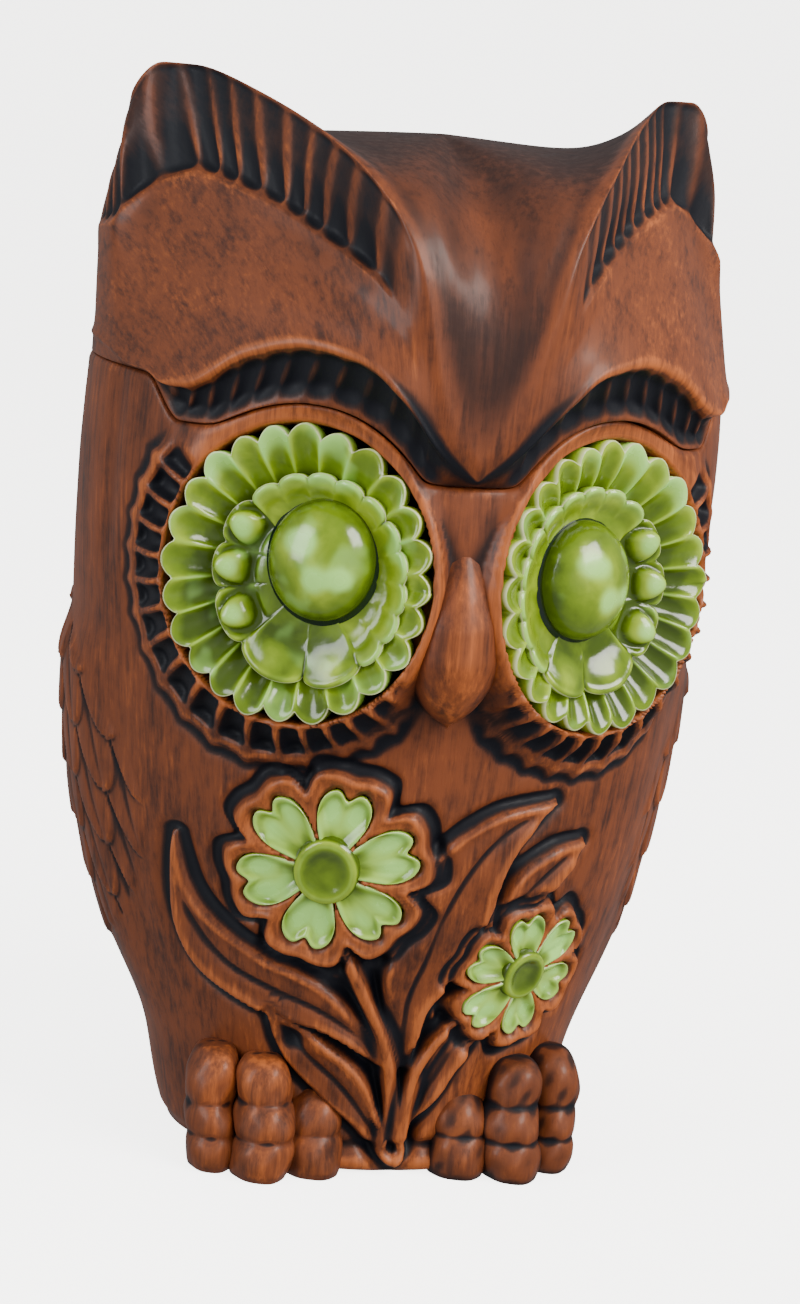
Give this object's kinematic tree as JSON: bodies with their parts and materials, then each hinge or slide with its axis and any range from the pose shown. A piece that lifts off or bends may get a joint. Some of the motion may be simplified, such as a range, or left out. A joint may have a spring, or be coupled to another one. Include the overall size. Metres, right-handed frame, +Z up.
{
  "type": "owl storage jar figurine",
  "caption": "Glazed ceramic owl with a lift-off head as its lid, petal eyes, a beak, blossoms and clawed feet.",
  "frame": {"origin": "on the flat underside of the base, on the jar's upright axis", "axes": "+Z up, out of the mouth of the jar; the owl looks along -Y, so its left side is at +X"},
  "size_m": [0.1854, 0.166, 0.3045],
  "materials": {
    "stained_ceramic": "satin",
    "green_glaze": "gloss"
  },
  "bodies": {
    "jar": {"jar": "stained_ceramic", "beak": "stained_ceramic", "left_eye_dish": "green_glaze", "left_eye_inner_flower": "green_glaze", "left_eye_dome": "green_glaze", "right_eye_dish": "green_glaze", "right_eye_inner_flower": "green_glaze", "right_eye_dome": "green_glaze", "left_foot": "stained_ceramic", "right_foot": "stained_ceramic", "large_blossom": "green_glaze", "large_blossom_centre": "green_glaze", "small_blossom": "green_glaze", "small_blossom_centre": "green_glaze"},
    "lid": {"lid": "stained_ceramic"}
  },
  "joints": [
    {"name": "lid_lift", "type": "slide", "parent": "jar", "child": "lid", "axis": [0, 0, 1], "range_m": [0, 0.12]}
  ]
}
